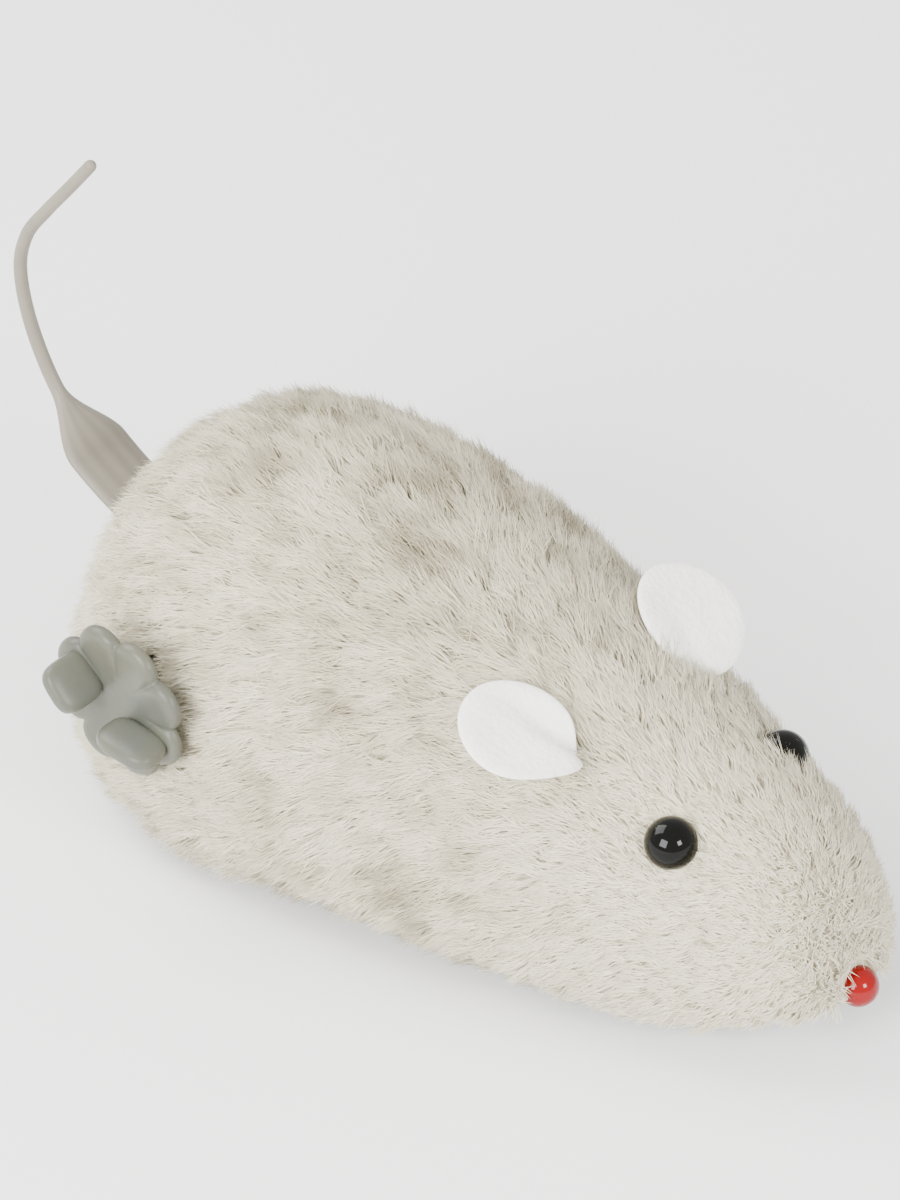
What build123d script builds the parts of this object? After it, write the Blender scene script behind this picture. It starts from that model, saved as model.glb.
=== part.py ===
from build123d import *

import os
from math import acos, atan2, cos, exp, hypot, pi, radians, sin, sqrt, tan

# A plush clockwork mouse: +X points to the nose, +Y to the mouse's left, +Z up, in millimetres.
# The origin is the centre of the base plate's flat underside, and the wheels stand FLOOR_Z below it.

# ---- body and fur cover ----
FLOOR_Z = -2.2
COVER_REAR_X = -34.9
COVER_FRONT_X = 33.6
BODY_X = -13.0            # the body is widest here
BODY_HALF_WIDTH = 17.9
BODY_HEIGHT = 28.0        # above the floor
HEAD_X = 13.0             # the head is widest and highest here
HEAD_HALF_WIDTH = 11.4
HEAD_HEIGHT_TOP = 18.4    # above the floor
NECK_ROUNDING = 2.5       # how softly the body runs into the head
COVER_HEM_Z = 0.0         # the fur cover's lower edge
ARCH_FOOT_Z = -3.0        # where the body's slices end below the hem
COVER_THICK = 1.9
SHELL_GAP = 0.1
SHELL_WALL = 0.9
PLATE_THICK = 1.0
PLATE_GAP = 0.1

# ---- gear train ----
MODULE = 0.4
PRESSURE_ANGLE = radians(25)
ADDENDUM = 0.8 * MODULE
DEDENDUM = 1.05 * MODULE
BACKLASH = 0.04           # taken off the tooth thickness of each gear
GREAT_TEETH = 30
SECOND_TEETH = 26
THIRD_TEETH = 20
PINION_TEETH = 10
RUNNING_GAP = 0.05

KEY_X, KEY_Z = -18.5, 13.0          # winding shaft
AXLE_X, AXLE_Z = -19.5, 4.3         # rear axle
THIRD_SHAFT_Z = 6.4

# ---- stack of the motor across the body, as (low Y, high Y) ----
CASE_HALF = 5.0
CASE_WALL = 0.8
SECOND_GEAR_Y = (-4.0, -3.2)
THIRD_PINION_Y = (-4.05, -3.05)
THIRD_GEAR_Y = (-2.7, -1.9)
AXLE_PINION_Y = (-2.9, -1.7)
GREAT_GEAR_Y = (-1.4, -0.4)
SECOND_PINION_Y = (-1.5, -0.3)
RATCHET_Y = (-0.3, 0.4)
SPRING_Y = (0.7, 3.7)

# ---- shafts ----
WINDING_SHAFT_R = 0.9
SMALL_SHAFT_R = 0.5
AXLE_R = 0.75

# ---- wheels ----
DRIVE_WHEEL_R = 6.5
TYRE_THICK = 1.1
DRIVE_WHEEL_Y = (5.8, 8.4)
FRONT_WHEEL_X = 19.0
FRONT_WHEEL_R = 4.0
FRONT_WHEEL_HALF = 1.2
FRONT_AXLE_R = 0.5

# ---- winding key ----
KEY_BACK_Y = -18.4
KEY_PLATE_THICK = 1.1
PETALS = 8
PETAL_R = 2.25
PETAL_CENTRE_R = 3.95
KEY_WING_HEIGHT = 3.5
KEY_WING_THICK = 0.9
KEY_WING_INNER = 1.3
KEY_WING_OUTER = 5.4
KEY_WING_TILT = -26.0     # degrees, in the X-Z plane

# ---- face ----
EYE_R = 1.9
EYE_X, EYE_Y, EYE_Z = 21.4, 6.2, 13.5
NOSE_R = 1.5
NOSE_X, NOSE_Z = 33.4, 3.1
SHANK_R = 0.45
EAR_FOOT_X, EAR_FOOT_Y, EAR_FOOT_Z = 13.3, 6.5, 17.0
EAR_LENGTH = 9.4
EAR_WIDTH = 8.4
EAR_THICK = 0.9

# ---- screws ----
HEAD_R = 1.35
HEAD_HEIGHT = 0.8
THREAD_R = 0.6
BODY_SCREWS = [(-29.0, 0.0), (25.6, 0.0), (5.0, -7.8), (5.0, 7.8)]
MOUNT_SCREWS = [(-25.0, 2.5), (-2.8, 2.5)]
CASE_SCREWS = [(-24.6, 6.0), (-5.2, 5.0), (-3.2, 16.0)]
BOSS_TOP_Z = 2.0          # the base plate's screw bosses end here


# ------------------------------------------------------------------ body envelope
def smooth_max(a, b, k):
    """The larger of two values, with the corner between them rounded over k."""
    h = min(max(0.5 + 0.5 * (a - b) / k, 0.0), 1.0)
    return b * (1 - h) + a * h + k * h * (1 - h)


def dome(x, centre, behind, ahead, p, q):
    """1 at centre, and 0 at the given distances behind and ahead of it."""
    u, power = ((centre - x) / behind, p) if x < centre else ((x - centre) / ahead, q)
    return sqrt(max(1 - min(u, 1.0) ** power, 0.0))


def body_section(x, inset):
    """One slice across the body at x, inset evenly from the cover's surface.
    A half ellipse stands on the widest line at the side, and the slice tucks in below it."""
    behind = BODY_X - COVER_REAR_X - inset
    ahead = COVER_FRONT_X - HEAD_X - inset
    half = smooth_max(
        (BODY_HALF_WIDTH - inset) * dome(x, BODY_X, behind, 43.0, 2.0, 1.85),
        (HEAD_HALF_WIDTH - inset) * dome(x, HEAD_X, 26.0, ahead, 2.5, 2.0),
        NECK_ROUNDING,
    )
    top = smooth_max(
        (BODY_HEIGHT - inset) * dome(x, BODY_X - 1, behind - 1, 43.0, 3.1, 1.9),
        (HEAD_HEIGHT_TOP - inset) * dome(x, HEAD_X, 20.0, ahead, 2.2, 3.6),
        NECK_ROUNDING,
    )
    top += FLOOR_Z
    side_z = 0.2 * top
    tuck = radians(17 + 17 * exp(-(((x - 4) / 13) ** 2)))
    arch = []
    for i in range(13):
        a = pi * i / 12
        arch.append((half * cos(a), side_z + (top - side_z) * sin(a)))
    low_half = half * (cos(tuck) - 0.35 * (1 - cos(tuck)))
    foot = [(low_half, ARCH_FOOT_Z), (half * cos(tuck), 0.3 * side_z)]
    mirrored = [(-y, z) for y, z in reversed(foot)]
    outline = foot + arch + mirrored
    # the slice's own x is +Y and its own y is +Z
    plane = Plane(origin=(x, 0, 0), x_dir=(0, 1, 0), z_dir=(1, 0, 0))
    return plane * make_face(Spline(*outline) + Line(outline[-1], outline[0]))


def body_volume(inset, low_z=None):
    """The mouse's body as one smooth solid, cut flat at low_z."""
    rear = BODY_X - COVER_REAR_X - inset
    front = COVER_FRONT_X - BODY_X - inset
    behind = [0.985, 0.93, 0.82, 0.65, 0.45, 0.22]
    ahead = [0.0, 0.14, 0.28, 0.42, 0.54, 0.66, 0.78, 0.88, 0.95, 0.988]
    stations = [BODY_X - rear * u for u in behind]
    stations += [BODY_X + front * u for u in ahead]
    body = loft([body_section(x, inset) for x in stations])
    if low_z is None:
        return body
    return body & block((-50, 50), (-30, 30), (low_z, 40))


def post(x, y, radius, low_z, high_z):
    """An upright round post."""
    return Pos(x, y, (low_z + high_z) / 2) * Cylinder(radius, high_z - low_z)


def block(x_span, y_span, z_span):
    """A box given by its two limits along each axis."""
    middle = [(a + b) / 2 for a, b in (x_span, y_span, z_span)]
    size = [b - a for a, b in (x_span, y_span, z_span)]
    return Pos(*middle) * Box(*size)


# ------------------------------------------------------------------ pieces lying across the body
def slab(face, span):
    """A flat figure drawn in X and Z, made a solid between two levels of Y."""
    low, high = span
    plane = Plane(origin=(0, high, 0), x_dir=(1, 0, 0), z_dir=(0, -1, 0))
    return extrude(plane * face, amount=high - low)


def rod(place, radius, span):
    """A round bar along Y through the point (X, Z)."""
    return slab(Pos(*place) * Circle(radius), span)


def hull(circles):
    """The outline of a belt pulled round circles, each given as (x, z, radius)."""
    edges = [(Pos(x, z) * Circle(r)).edge() for x, z, r in circles]
    return make_hull(edges)


def meet(first, first_reach, second, second_reach):
    """The point at the given distances from two points, on the left of the line from first to second."""
    dx, dz = second[0] - first[0], second[1] - first[1]
    gap = hypot(dx, dz)
    along = (first_reach**2 - second_reach**2 + gap**2) / (2 * gap)
    across = sqrt(first_reach**2 - along**2)
    return (
        first[0] + (along * dx - across * dz) / gap,
        first[1] + (along * dz + across * dx) / gap,
    )


# ------------------------------------------------------------------ gears
def pitch_radius(teeth):
    return MODULE * teeth / 2


def centre_distance(teeth, other_teeth):
    return pitch_radius(teeth) + pitch_radius(other_teeth)


def gear_face(teeth, centre, tooth_angle):
    """An involute gear's outline about a centre, with one tooth pointing along tooth_angle."""
    pitch = pitch_radius(teeth)
    base = pitch * cos(PRESSURE_ANGLE)
    tip = pitch + ADDENDUM
    root = pitch - DEDENDUM
    half_tooth = (pi * MODULE / 2 - BACKLASH) / 2 / pitch
    involute = tan(PRESSURE_ANGLE) - PRESSURE_ANGLE

    def half_angle(radius):
        pressure = acos(min(1.0, base / radius))
        return half_tooth + involute - (tan(pressure) - pressure)

    start = max(base, root)
    radii = [start + (tip - start) * i / 4 for i in range(5)]
    flank = [(r, half_angle(r)) for r in radii]
    if root < start:
        flank.insert(0, (root, half_angle(start)))
    points = []
    for tooth in range(teeth):
        middle = tooth_angle + 2 * pi * tooth / teeth
        rising = [(r, middle - a) for r, a in flank]
        falling = [(r, middle + a) for r, a in reversed(flank)]
        for r, a in rising + falling:
            points.append((centre[0] + r * cos(a), centre[1] + r * sin(a)))
    return make_face(Polyline(*points, close=True))


def direction(start, end):
    return atan2(end[1] - start[1], end[0] - start[0])


def facing_gap(teeth, angle):
    """The tooth angle that turns a gap between two teeth towards angle."""
    return angle + pi / teeth


KEY_SHAFT = (KEY_X, KEY_Z)
AXLE = (AXLE_X, AXLE_Z)
third_reach = centre_distance(THIRD_TEETH, PINION_TEETH)
THIRD_SHAFT = (
    AXLE_X + sqrt(third_reach**2 - (THIRD_SHAFT_Z - AXLE_Z) ** 2),
    THIRD_SHAFT_Z,
)
SECOND_SHAFT = meet(
    KEY_SHAFT,
    centre_distance(GREAT_TEETH, PINION_TEETH),
    THIRD_SHAFT,
    centre_distance(SECOND_TEETH, PINION_TEETH),
)


# ------------------------------------------------------------------ motor
def case_outline(thinner=0.0):
    """The motor case's side view: a belt round the gears and the screw bosses."""
    circles = [
        (*KEY_SHAFT, 7.1 - thinner),
        (*SECOND_SHAFT, 6.3 - thinner),
        (*THIRD_SHAFT, 5.1 - thinner),
        (*AXLE, 3.05 - thinner),
    ]
    circles += [(x, z, 1.8 - thinner) for x, z in CASE_SCREWS]
    return hull(circles)


def motor_case(side):
    """One half of the moulded case. side is +1 for the left half and -1 for the right half."""
    def span(near, far):
        return tuple(sorted((side * near, side * far)))

    joint_y = 0.02
    inside_y = CASE_HALF - CASE_WALL
    half = slab(case_outline(), span(joint_y, CASE_HALF))
    half -= slab(case_outline(0.6), span(-1.0, inside_y))
    for place in CASE_SCREWS:
        half += rod(place, 1.4, span(joint_y, inside_y + 0.2))
    if side > 0:
        for x, y in MOUNT_SCREWS:
            outward = -1 if x < KEY_X else 1
            reach = sorted((x + outward * 1.9, x - outward * 2.9))
            half += block(reach, (0.3, CASE_HALF), (BOSS_TOP_Z, BOSS_TOP_Z + 1.5))
            half -= post(x, y, THREAD_R, 0, 8)
        half -= slab(
            hull([(*AXLE, 2.42), (*THIRD_SHAFT, 4.4)]), (0.0, inside_y)
        )
        for place in CASE_SCREWS:
            half -= rod(place, THREAD_R, (-1.0, inside_y - 0.4))
    else:
        for place in CASE_SCREWS:
            half -= rod(place, THREAD_R + 0.1, (-CASE_HALF - 1, 1.0))
            half -= rod(place, HEAD_R + 0.1, (-CASE_HALF - 1, -CASE_HALF + HEAD_HEIGHT))
    for place, radius in (
        (KEY_SHAFT, WINDING_SHAFT_R),
        (SECOND_SHAFT, SMALL_SHAFT_R),
        (THIRD_SHAFT, SMALL_SHAFT_R),
        (AXLE, AXLE_R),
    ):
        half -= rod(place, radius + RUNNING_GAP, span(0, CASE_HALF + 1))
    return half


def spring_strip():
    """The mainspring: a flat strip coiled in an even spiral from the shaft out to the case."""
    inner, outer, turns, half_thick = 1.75, 5.9, 6.5, 0.11
    steps = int(turns * 12)

    def edge(offset):
        points = []
        for i in range(steps + 1):
            r = inner + (outer - inner) * i / steps + offset
            a = 2 * pi * turns * i / steps
            points.append(around_key(r, a))
        return points

    inside, outside = edge(-half_thick), edge(half_thick)
    outline = Spline(*inside) + Line(inside[-1], outside[-1])
    outline += Spline(*outside) + Line(outside[0], inside[0])
    return slab(make_face(outline), SPRING_Y)


RATCHET_TEETH = 12
RATCHET_TIP_R = 2.9
RATCHET_ROOT_R = 2.35


def around_key(radius, angle):
    """A point at a distance and an angle from the winding shaft."""
    return (KEY_X + radius * cos(angle), KEY_Z + radius * sin(angle))


def ratchet_wheel():
    """A saw-toothed wheel that the click holds in one direction."""
    points = []
    pitch = 2 * pi / RATCHET_TEETH
    for tooth in range(RATCHET_TEETH):
        start = pitch * tooth
        points.append(around_key(RATCHET_ROOT_R, start))
        points.append(around_key(RATCHET_TIP_R, start + pitch - 0.08))
    wheel = make_face(Polyline(*points, close=True))
    return slab(wheel, RATCHET_Y) - rod(KEY_SHAFT, WINDING_SHAFT_R, (-2, 2))


def click_spring():
    """A thin sprung finger, riveted to the great wheel, whose tip sits behind a ratchet tooth."""
    tip = around_key(RATCHET_ROOT_R + 0.25, 2 * pi / RATCHET_TEETH + radians(5))
    rivet = around_key(4.87, radians(71))
    return slab(hull([(*rivet, 0.4), (*tip, 0.09)]), RATCHET_Y)


def great_wheel():
    toward_second = direction(KEY_SHAFT, SECOND_SHAFT)
    wheel = slab(gear_face(GREAT_TEETH, KEY_SHAFT, toward_second), GREAT_GEAR_Y)
    for i in range(5):
        a = 2 * pi * (i + 0.5) / 5 + 0.25
        wheel -= rod(around_key(3.7, a), 0.85, (-2, 0))
    return wheel - rod(KEY_SHAFT, WINDING_SHAFT_R + RUNNING_GAP, (-2, 0))


def wheel_and_pinion(centre, teeth, gear_span, pinion_span, gear_to, pinion_to):
    """A gear moulded in one with its smaller pinion, on a shaft it grips."""
    gear = slab(gear_face(teeth, centre, direction(centre, gear_to)), gear_span)
    gap = facing_gap(PINION_TEETH, direction(centre, pinion_to))
    pinion = slab(gear_face(PINION_TEETH, centre, gap), pinion_span)
    low = min(gear_span[0], pinion_span[0])
    high = max(gear_span[1], pinion_span[1])
    hub = rod(centre, 1.3, (low, high))
    return gear + pinion + hub - rod(centre, SMALL_SHAFT_R, (-6, 6))


def second_wheel():
    return wheel_and_pinion(
        SECOND_SHAFT, SECOND_TEETH, SECOND_GEAR_Y, SECOND_PINION_Y, THIRD_SHAFT, KEY_SHAFT
    )


def third_wheel():
    return wheel_and_pinion(
        THIRD_SHAFT, THIRD_TEETH, THIRD_GEAR_Y, THIRD_PINION_Y, AXLE, SECOND_SHAFT
    )


def axle_pinion():
    gap = facing_gap(PINION_TEETH, direction(AXLE, THIRD_SHAFT))
    pinion = slab(gear_face(PINION_TEETH, AXLE, gap), AXLE_PINION_Y)
    return pinion - rod(AXLE, AXLE_R, (-4, 0))


# ------------------------------------------------------------------ running gear
def both_sides(span, side):
    return tuple(sorted((side * span[0], side * span[1])))


def drive_wheel(side):
    """A five-spoked plastic wheel with a long hub that keeps it off the motor case."""
    rim_r = DRIVE_WHEEL_R - TYRE_THICK
    span = both_sides(DRIVE_WHEEL_Y, side)
    web = both_sides((DRIVE_WHEEL_Y[0] + 0.8, DRIVE_WHEEL_Y[1] - 0.8), side)
    wheel = rod(AXLE, rim_r, span) - rod(AXLE, rim_r - 0.9, span)
    disc = rod(AXLE, rim_r - 0.5, web)
    for i in range(5):
        a = 2 * pi * i / 5
        disc -= rod((AXLE_X + 3.0 * cos(a), AXLE_Z + 3.0 * sin(a)), 0.9, web)
    hub = rod(AXLE, 1.6, both_sides((CASE_HALF + 0.15, DRIVE_WHEEL_Y[1]), side))
    return wheel + disc + hub - rod(AXLE, AXLE_R, (-9, 9))


def tyre(side):
    """A soft ring with grooves round its tread."""
    span = both_sides(DRIVE_WHEEL_Y, side)
    ring = rod(AXLE, DRIVE_WHEEL_R, span)
    middle = side * (DRIVE_WHEEL_Y[0] + DRIVE_WHEEL_Y[1]) / 2
    for y in (middle - 0.6, middle + 0.6):
        band = (y - 0.15, y + 0.15)
        ring -= rod(AXLE, DRIVE_WHEEL_R + 1, band) - rod(AXLE, DRIVE_WHEEL_R - 0.3, band)
    return ring - rod(AXLE, DRIVE_WHEEL_R - TYRE_THICK, span)


FRONT = (FRONT_WHEEL_X, FLOOR_Z + FRONT_WHEEL_R)
FRONT_LUG_Y = (1.8, 2.7)


def front_wheel():
    half = FRONT_WHEEL_HALF
    wheel = rod(FRONT, FRONT_WHEEL_R, (-half, half))
    wheel -= rod(FRONT, 2.9, (-half, -half + 0.5)) + rod(FRONT, 2.9, (half - 0.5, half))
    wheel += rod(FRONT, 1.2, (-half - 0.45, half + 0.45))
    return wheel - rod(FRONT, FRONT_AXLE_R + RUNNING_GAP, (-4, 4))


# ------------------------------------------------------------------ base plate and shell
def base_plate():
    """The flat bottom: slots for three wheels, lugs for the front axle and bosses for screws."""
    inset = COVER_THICK + SHELL_GAP + SHELL_WALL + PLATE_GAP
    plate = body_volume(inset) & block((-40, 40), (-20, 20), (0, PLATE_THICK))
    for x, y in BODY_SCREWS + MOUNT_SCREWS:
        plate += post(x, y, 2.1, 0, BOSS_TOP_Z)
    for side in (-1, 1):
        reach = sqrt(DRIVE_WHEEL_R**2 - (AXLE_Z - PLATE_THICK) ** 2) + 0.6
        slot = both_sides((DRIVE_WHEEL_Y[0] - 0.5, DRIVE_WHEEL_Y[1] + 0.5), side)
        plate -= block((AXLE_X - reach, AXLE_X + reach), slot, (-1, 2.5))
        lug = both_sides(FRONT_LUG_Y, side)
        cheek = block((FRONT_WHEEL_X - 1.6, FRONT_WHEEL_X + 1.6), lug, (0.5, 3.2))
        plate += cheek
    front_reach = FRONT_WHEEL_R + 0.3
    front_slot = (FRONT_WHEEL_X - front_reach, FRONT_WHEEL_X + front_reach)
    plate -= block(front_slot, (-1.7, 1.7), (-1, 5))
    plate -= rod(FRONT, FRONT_AXLE_R, (-4, 4))
    for x, y in BODY_SCREWS + MOUNT_SCREWS:
        plate -= post(x, y, HEAD_R + 0.1, -1, PLATE_THICK)
        plate -= post(x, y, THREAD_R + 0.1, 0, 3)
    return plate


def shank_holes(radius):
    """Three holes, for the shanks of both eyes and of the nose."""
    holes = []
    for side in (-1, 1):
        holes.append(shank(side, radius, 9.0))
    holes.append(nose_shank(radius, 9.0))
    return holes


def eye_direction(side):
    """The way an eye looks out of the head: sideways, a little forward and up."""
    return Vector(0.28, side * 0.86, 0.42).normalized()


def shank(side, radius, length):
    out = eye_direction(side)
    centre = Vector(EYE_X, side * EYE_Y, EYE_Z)
    plane = Plane(origin=centre - out * length, z_dir=out)
    return extrude(plane * Circle(radius), amount=length)


def nose_shank(radius, length):
    plane = Plane(origin=(NOSE_X - length, 0, NOSE_Z), z_dir=(1, 0, 0))
    return extrude(plane * Circle(radius), amount=length)


def body_shell():
    """The moulded half-egg body, open underneath, with a column over each body screw."""
    outer = COVER_THICK + SHELL_GAP
    inner = body_volume(outer + SHELL_WALL)
    shell = body_volume(outer, 0.0) - inner
    for x, y in BODY_SCREWS:
        column = post(x, y, 1.6, BOSS_TOP_Z, BODY_HEIGHT) & body_volume(outer + 0.4, 0.0)
        shell += column
        shell -= post(x, y, THREAD_R, 0, 7.5)
    shell -= rod(KEY_SHAFT, 1.6, (-20, 0))
    for hole in shank_holes(SHANK_R + 0.05):
        shell -= hole
    for side in (-1, 1):
        shell -= Pos(EYE_X, side * EYE_Y, EYE_Z) * Sphere(EYE_R + 0.05)
    return shell - tail_slot(0.15)


def plush_cover():
    """The fur fabric over the shell: backing and pile as one closed layer with an open hem."""
    cover = body_volume(0.0, COVER_HEM_Z)
    cover -= body_volume(COVER_THICK)
    cover -= rod(KEY_SHAFT, 2.2, (-20, 0))
    for hole in shank_holes(SHANK_R + 0.1):
        cover -= hole
    for side in (-1, 1):
        cover -= Pos(EYE_X, side * EYE_Y, EYE_Z) * Sphere(EYE_R + 0.05)
        cover -= ear(side, 0.12)
    cover -= Pos(NOSE_X, 0, NOSE_Z) * Sphere(NOSE_R + 0.05)
    return cover - tail_slot(0.3)


def bead(centre, radius, stem):
    return Pos(*centre) * Sphere(radius) + stem


def washer_on(plane):
    """A push-on steel washer gripping a shank behind the shell wall."""
    return extrude(plane * (Circle(1.3) - Circle(SHANK_R)), amount=0.3)


def shank_washers():
    washers = []
    for side in (-1, 1):
        out = eye_direction(side)
        centre = Vector(EYE_X, side * EYE_Y, EYE_Z)
        washers.append(washer_on(Plane(origin=centre - out * 4.4, z_dir=out)))
    washers.append(washer_on(Plane(origin=(NOSE_X - 5.2, 0, NOSE_Z), z_dir=(1, 0, 0))))
    return washers


def ear(side, grow=0.0):
    """An oval of felt, standing on the head and leaning back and outwards."""
    up = Vector(-0.75, side * 0.33, 0.60).normalized()
    face = Vector(0.62, side * 0.02, 0.78)
    face = (face - up * face.dot(up)).normalized()
    foot = Vector(EAR_FOOT_X, side * EAR_FOOT_Y, EAR_FOOT_Z) - up * 0.1
    middle = foot + up * (EAR_LENGTH / 2) - face * (EAR_THICK / 2 + grow)
    plane = Plane(origin=middle, x_dir=up, z_dir=face)
    oval = Ellipse(EAR_LENGTH / 2 + grow, EAR_WIDTH / 2 + grow)
    return extrude(plane * oval, amount=EAR_THICK + 2 * grow)


# ------------------------------------------------------------------ tail
TAIL_FOOT = [(-30.4, 11.4), (-33.4, 12.3)]
TAIL_ROUTE = [(-37.6, 14.6), (-41.7, 18.0), (-44.3, 22.8), (-45.3, 27.6),
              (-44.5, 31.2), (-42.4, 34.3), (-40.0, 37.4), (-37.5, 40.7)]
TAIL_FOOT_WIDTH = 5.4
TAIL_FOOT_THICK = 1.5
TAIL_THIN = 1.1


def tail():
    """A moulded tail: a flat foot that narrows into a thin round whip, standing in one plane."""
    route = Spline(*[(x, z) for x, z in TAIL_FOOT + TAIL_ROUTE])
    slices = []
    count = 20
    for i in range(count + 1):
        t = i / count
        x, z = (route @ t).X, (route @ t).Y
        along = route % t
        plane = Plane(
            origin=(x, 0, z), x_dir=(0, 1, 0), z_dir=(along.X, 0, along.Y)
        )
        narrowing = min(max((0.39 - t) / 0.22, 0.0), 1.0)
        spread = narrowing * narrowing * (3 - 2 * narrowing)
        width = TAIL_THIN + (TAIL_FOOT_WIDTH - TAIL_THIN) * spread
        thick = TAIL_THIN + (TAIL_FOOT_THICK - TAIL_THIN) * spread
        slices.append(plane * Ellipse(width / 2, thick / 2))
    return loft(slices)


def tail_slot(gap):
    """The slit through which the tail's flat foot is pushed."""
    (x0, z0), (x1, z1) = TAIL_FOOT[0], TAIL_ROUTE[0]
    length = hypot(x1 - x0, z1 - z0) + 1.5
    plane = Plane(
        origin=((x0 + x1) / 2, 0, (z0 + z1) / 2),
        x_dir=(x1 - x0, 0, z1 - z0),
        z_dir=(z0 - z1, 0, x1 - x0),
    )
    return plane * Box(length, TAIL_FOOT_WIDTH + 2 * gap, TAIL_FOOT_THICK + 0.5 + 2 * gap)


# ------------------------------------------------------------------ key
def thumb_wing(side):
    """One upright wing of the key, with its outer corner rounded, before the key is turned."""
    width = KEY_WING_OUTER - KEY_WING_INNER
    profile = Pos(width / 2, -KEY_WING_HEIGHT / 2) * Rectangle(width, KEY_WING_HEIGHT)
    corner = profile.vertices().sort_by(Axis.X)[-2:].sort_by(Axis.Y)[0]
    profile = fillet(corner, 1.5)
    wing = extrude(profile, amount=KEY_WING_THICK / 2, both=True)
    rim = wing.edges().filter_by(Axis.Z, reverse=True).group_by(Axis.Z)
    rim_edges = [e for e in rim[0] + rim[-1] if e.center().Y < -0.1]
    wing = fillet(rim_edges, 0.2)
    return Rot(0, 0 if side > 0 else 180, 0) * Pos(KEY_WING_INNER, 0, 0) * wing


def winding_key():
    """An eight-petal flower plate with two thumb wings across it and a sleeve behind it."""
    front_y = KEY_BACK_Y - KEY_PLATE_THICK
    span = (front_y, KEY_BACK_Y)
    key = rod(KEY_SHAFT, PETAL_CENTRE_R + 0.3, span)
    for i in range(PETALS):
        a = 2 * pi * (i + 0.5) / PETALS
        petal = rod(around_key(PETAL_CENTRE_R, a), PETAL_R, span)
        petal = fillet(petal.edges().filter_by(GeomType.CIRCLE), 0.35)
        key += petal
    for side in (-1, 1):
        key += Pos(KEY_X, front_y, KEY_Z) * Rot(0, -KEY_WING_TILT, 0) * thumb_wing(side)
    sleeve = rod(KEY_SHAFT, 1.5, (KEY_BACK_Y, KEY_BACK_Y + 3.6))
    return key + sleeve - rod(KEY_SHAFT, WINDING_SHAFT_R, (front_y + 0.4, 0))


def winding_shaft():
    """The steel shaft from the key through the motor, thicker where the mainspring hooks on."""
    shaft = rod(KEY_SHAFT, WINDING_SHAFT_R, (KEY_BACK_Y - KEY_PLATE_THICK + 0.4, CASE_HALF))
    return shaft + rod(KEY_SHAFT, 1.6, (RATCHET_Y[1], SPRING_Y[1] + 0.2))


# ------------------------------------------------------------------ screws
def upright_screw(x, y, length):
    """A pan-head self-tapping screw driven upwards, with a cross recess."""
    head_low = PLATE_THICK - HEAD_HEIGHT
    screw = post(x, y, HEAD_R, head_low, PLATE_THICK)
    screw += post(x, y, THREAD_R, PLATE_THICK, PLATE_THICK + length)
    for sx, sy in ((0.9, 0.16), (0.16, 0.9)):
        screw -= block((x - sx, x + sx), (y - sy, y + sy), (head_low, head_low + 0.4))
    return screw


def case_screw(place):
    head_y = -CASE_HALF + HEAD_HEIGHT
    screw = rod(place, HEAD_R, (-CASE_HALF, head_y))
    screw += rod(place, THREAD_R, (head_y, CASE_HALF - 1.5))
    x, z = place
    for sx, sz in ((0.9, 0.16), (0.16, 0.9)):
        screw -= block((x - sx, x + sx), (-CASE_HALF, -CASE_HALF + 0.4), (z - sz, z + sz))
    return screw


# ------------------------------------------------------------------ write every piece
nodes = {
    "plush_cover": plush_cover(),
    "left_ear": ear(1),
    "right_ear": ear(-1),
    "left_eye": bead((EYE_X, EYE_Y, EYE_Z), EYE_R, shank(1, SHANK_R, 5.0)),
    "right_eye": bead((EYE_X, -EYE_Y, EYE_Z), EYE_R, shank(-1, SHANK_R, 5.0)),
    "nose_bead": bead((NOSE_X, 0, NOSE_Z), NOSE_R, nose_shank(SHANK_R, 6.0)),
    "shank_washers": Compound(children=shank_washers()),
    "tail": tail(),
    "body_shell": body_shell(),
    "base_plate": base_plate(),
    "body_screws": Compound(children=[upright_screw(x, y, 5.0) for x, y in BODY_SCREWS]),
    "motor_mount_screws": Compound(
        children=[upright_screw(x, y, 2.4) for x, y in MOUNT_SCREWS]
    ),
    "motor_case_left": motor_case(1),
    "motor_case_right": motor_case(-1),
    "case_screws": Compound(children=[case_screw(place) for place in CASE_SCREWS]),
    "mainspring": spring_strip(),
    "winding_shaft": winding_shaft(),
    "ratchet_wheel": ratchet_wheel(),
    "click_spring": click_spring(),
    "great_wheel": great_wheel(),
    "second_wheel": second_wheel(),
    "second_shaft": rod(SECOND_SHAFT, SMALL_SHAFT_R, (-CASE_HALF, CASE_HALF)),
    "third_wheel": third_wheel(),
    "third_shaft": rod(THIRD_SHAFT, SMALL_SHAFT_R, (-CASE_HALF, CASE_HALF)),
    "axle_pinion": axle_pinion(),
    "drive_axle": rod(AXLE, AXLE_R, (-DRIVE_WHEEL_Y[1] - 0.3, DRIVE_WHEEL_Y[1] + 0.3)),
    "left_drive_wheel": drive_wheel(1),
    "right_drive_wheel": drive_wheel(-1),
    "left_tyre": tyre(1),
    "right_tyre": tyre(-1),
    "front_wheel": front_wheel(),
    "front_axle": rod(FRONT, FRONT_AXLE_R, (-FRONT_LUG_Y[1], FRONT_LUG_Y[1])),
    "winding_key": winding_key(),
}

os.makedirs("parts", exist_ok=True)
for name, shape in nodes.items():
    export_step(shape, f"parts/{name}.step")
print("shafts (X, Z):", "second", SECOND_SHAFT, "third", THIRD_SHAFT)
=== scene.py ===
import math

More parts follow.
